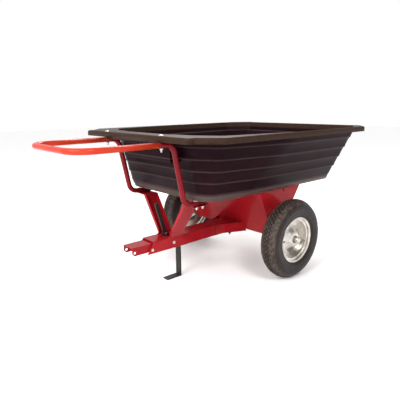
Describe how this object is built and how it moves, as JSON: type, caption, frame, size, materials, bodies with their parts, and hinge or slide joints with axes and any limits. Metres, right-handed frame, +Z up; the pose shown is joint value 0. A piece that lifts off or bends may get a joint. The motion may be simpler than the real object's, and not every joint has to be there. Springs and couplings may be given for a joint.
{
  "type": "garden dump cart",
  "caption": "Dump cart with a stepped plastic tub on a tubular push frame, tilting about the wheel axle over a hitch drawbar with a folding stand.",
  "frame": {"origin": "on the ground under the middle of the cart's length and width", "axes": "+X forward towards the push handle and hitch, +Y to the cart's left, +Z up"},
  "size_m": [1.6417, 1, 0.7555],
  "materials": {
    "tub_plastic": "moulded, fine satin grain",
    "handle_paint": "bright red gloss powder coat",
    "frame_paint": "dark red gloss powder coat",
    "black_paint": "black satin paint",
    "zinc": "bright zinc plate",
    "black_fastener": "black oxide",
    "axle_steel": "drawn steel",
    "rim_zinc": "pressed, bright zinc plate",
    "tyre_rubber": "matt block tread, satin sidewall",
    "tube_rubber": "satin",
    "nylon": "natural"
  },
  "bodies": {
    "drawbar": {"drawbar": "frame_paint", "axle": "axle_steel", "left_axle_spacer": "axle_steel", "right_axle_spacer": "axle_steel", "left_axle_washer": "zinc", "right_axle_washer": "zinc", "left_axle_cap": "zinc", "right_axle_cap": "zinc", "stand_pin": "zinc"},
    "bed": {"tub": "tub_plastic", "push_handle": "handle_paint", "left_frame_tube": "frame_paint", "right_frame_tube": "frame_paint", "left_handle_plug": "zinc", "right_handle_plug": "zinc", "left_strut": "frame_paint", "right_strut": "frame_paint", "bed_rail": "frame_paint", "rail_wings": "frame_paint", "latch_bracket": "black_paint", "latch_pin": "zinc", "saddle_front_panel": "frame_paint", "saddle_rear_panel": "frame_paint", "left_saddle_plate": "frame_paint", "right_saddle_plate": "frame_paint", "handle_bolts": "zinc", "handle_nuts": "zinc", "frame_bolts": "zinc", "frame_nuts": "zinc", "frame_pads": "nylon", "saddle_bolts": "zinc", "saddle_nuts": "zinc", "strut_foot_bolts": "zinc", "wing_bolts": "black_fastener", "wing_nuts": "black_fastener"},
    "left_wheel": {"left_tyre": "tyre_rubber", "left_inner_tube": "tube_rubber", "left_outer_rim": "rim_zinc", "left_inner_rim": "rim_zinc", "left_hub": "axle_steel", "left_outer_bush": "nylon", "left_inner_bush": "nylon", "left_valve_stem": "tube_rubber"},
    "right_wheel": {"right_tyre": "tyre_rubber", "right_inner_tube": "tube_rubber", "right_outer_rim": "rim_zinc", "right_inner_rim": "rim_zinc", "right_hub": "axle_steel", "right_outer_bush": "nylon", "right_inner_bush": "nylon", "right_valve_stem": "tube_rubber"},
    "stand": {"stand_leg": "black_paint"},
    "latch": {"latch_lever": "black_paint"}
  },
  "joints": [
    {"name": "bed_tilt", "type": "hinge", "parent": "drawbar", "child": "bed", "pos_m": [-0.23785, 0, 0.203], "axis": [0, -1, 0], "range_deg": [0, 48]},
    {"name": "left_wheel_spin", "type": "hinge", "parent": "drawbar", "child": "left_wheel", "pos_m": [-0.23785, 0.3985, 0.203], "axis": [0, 1, 0], "continuous": true},
    {"name": "right_wheel_spin", "type": "hinge", "parent": "drawbar", "child": "right_wheel", "pos_m": [-0.23785, -0.3985, 0.203], "axis": [0, 1, 0], "continuous": true},
    {"name": "stand_fold", "type": "hinge", "parent": "drawbar", "child": "stand", "pos_m": [0.17915, 0, 0.204], "axis": [0, 1, 0], "range_deg": [0, 85]},
    {"name": "latch_pull", "type": "hinge", "parent": "bed", "child": "latch", "pos_m": [0.25915, 0, 0.246], "axis": [0, 1, 0], "range_deg": [0, 25], "stiffness_Nm_per_rad": 1.5, "springref_deg": -11.46}
  ]
}
